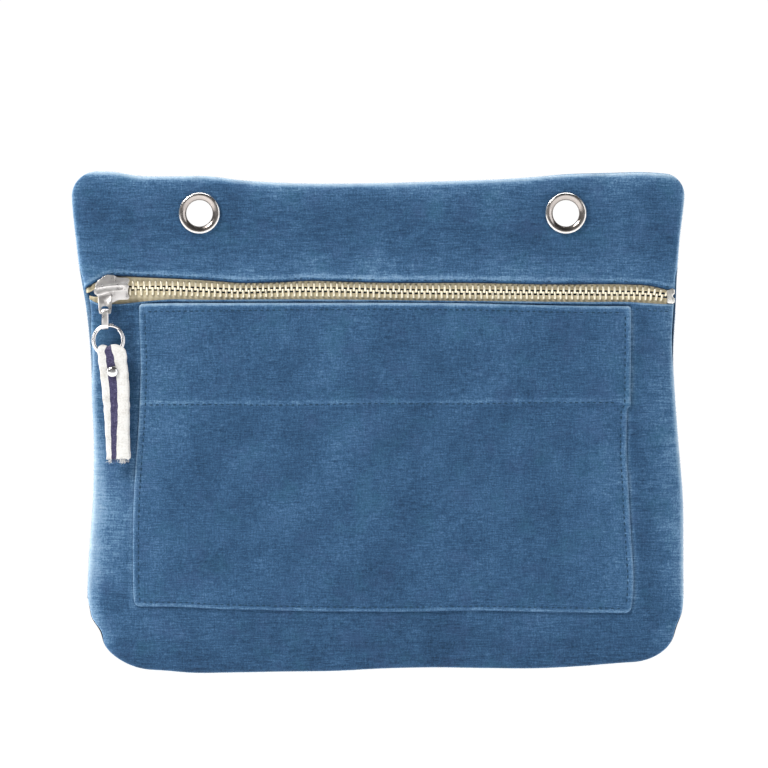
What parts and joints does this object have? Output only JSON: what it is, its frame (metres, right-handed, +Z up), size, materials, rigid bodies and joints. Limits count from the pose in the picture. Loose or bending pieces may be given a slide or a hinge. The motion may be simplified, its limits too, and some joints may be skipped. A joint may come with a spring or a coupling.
{
  "type": "zippered pouch",
  "caption": "Flat velvet pouch with a metal zipper across the front, an open-topped patch pocket, eyelets in the top band and a strap tab on the slider.",
  "frame": {"origin": "midway between the axes of the two eyelets, in the middle plane of the top band", "axes": "+X to the right along the pouch's width, +Y to the back, +Z up; the front with the zipper faces -Y"},
  "size_m": [0.2786, 0.0275, 0.2284],
  "materials": {
    "front_yoke": "velvet pile",
    "front_panel": "velvet pile",
    "back_panel": "velvet pile",
    "patch_pocket": "velvet pile",
    "lining_yoke": "plain weave",
    "lining_front": "plain weave",
    "lining_back": "plain weave",
    "eyelet_left": "polished",
    "eyelet_right": "polished",
    "eyelet_washer_left": "polished",
    "eyelet_washer_right": "polished",
    "zipper_tape_upper": "herringbone tape",
    "zipper_tape_lower": "herringbone tape",
    "zipper_teeth_upper": "pale gold",
    "zipper_teeth_lower": "pale gold",
    "bottom_stop": "satin",
    "top_stop_upper": "pale gold",
    "top_stop_lower": "pale gold",
    "slider_body": "nickel",
    "slider_crown": "nickel",
    "pull_tab": "nickel",
    "pull_link": "nickel",
    "split_ring": "nickel",
    "strap_tab": "cotton tape with a dark centre stripe",
    "strap_rivet_cap": "nickel",
    "strap_rivet_post": "nickel"
  },
  "bodies": {
    "pouch": {"front_yoke": "front_yoke", "front_panel": "front_panel", "back_panel": "back_panel", "patch_pocket": "patch_pocket", "lining_yoke": "lining_yoke", "lining_front": "lining_front", "lining_back": "lining_back", "eyelet_left": "eyelet_left", "eyelet_right": "eyelet_right", "eyelet_washer_left": "eyelet_washer_left", "eyelet_washer_right": "eyelet_washer_right", "bottom_stop": "bottom_stop"},
    "zip_upper": {"zipper_tape_upper": "zipper_tape_upper", "zipper_teeth_upper": "zipper_teeth_upper", "top_stop_upper": "top_stop_upper"},
    "zip_lower": {"zipper_tape_lower": "zipper_tape_lower", "zipper_teeth_lower": "zipper_teeth_lower", "top_stop_lower": "top_stop_lower"},
    "slider": {"slider_body": "slider_body", "slider_crown": "slider_crown"},
    "pull": {"pull_tab": "pull_tab"},
    "link": {"pull_link": "pull_link"},
    "ring": {"split_ring": "split_ring"},
    "strap": {"strap_tab": "strap_tab", "strap_rivet_cap": "strap_rivet_cap", "strap_rivet_post": "strap_rivet_post"}
  },
  "joints": [
    {"name": "slider_slide", "type": "slide", "parent": "pouch", "child": "slider", "axis": [1, 0, -0.0092], "range_m": [0, 0.244]},
    {"name": "zip_upper_open", "type": "hinge", "parent": "pouch", "child": "zip_upper", "pos_m": [0.12049, -0.00215, -0.03674], "axis": [0, 1, 0], "range_deg": [0, 0.81]},
    {"name": "zip_lower_open", "type": "hinge", "parent": "pouch", "child": "zip_lower", "pos_m": [0.12049, -0.00215, -0.03674], "axis": [0, -1, 0], "range_deg": [0, 0.81]},
    {"name": "pull_lift", "type": "hinge", "parent": "slider", "child": "pull", "pos_m": [-0.12655, -0.0078, -0.0346], "axis": [-1, 0, 0], "range_deg": [0, 38]},
    {"name": "link_swing", "type": "hinge", "parent": "pull", "child": "link", "pos_m": [-0.12655, -0.0107, -0.04542], "axis": [-1, 0, 0], "range_deg": [0, 60]},
    {"name": "ring_swing", "type": "hinge", "parent": "link", "child": "ring", "pos_m": [-0.1251, -0.0107, -0.0514], "axis": [-1, 0, 0], "range_deg": [0, 40]},
    {"name": "strap_swing", "type": "hinge", "parent": "ring", "child": "strap", "pos_m": [-0.1251, -0.0107, -0.0646], "axis": [-1, 0, 0], "range_deg": [0, 24]}
  ],
  "couplings": [
    {"joint": "zip_upper_open", "follows": "slider_slide", "rad_per_m": 0.057377},
    {"joint": "zip_lower_open", "follows": "slider_slide", "rad_per_m": 0.057377}
  ]
}
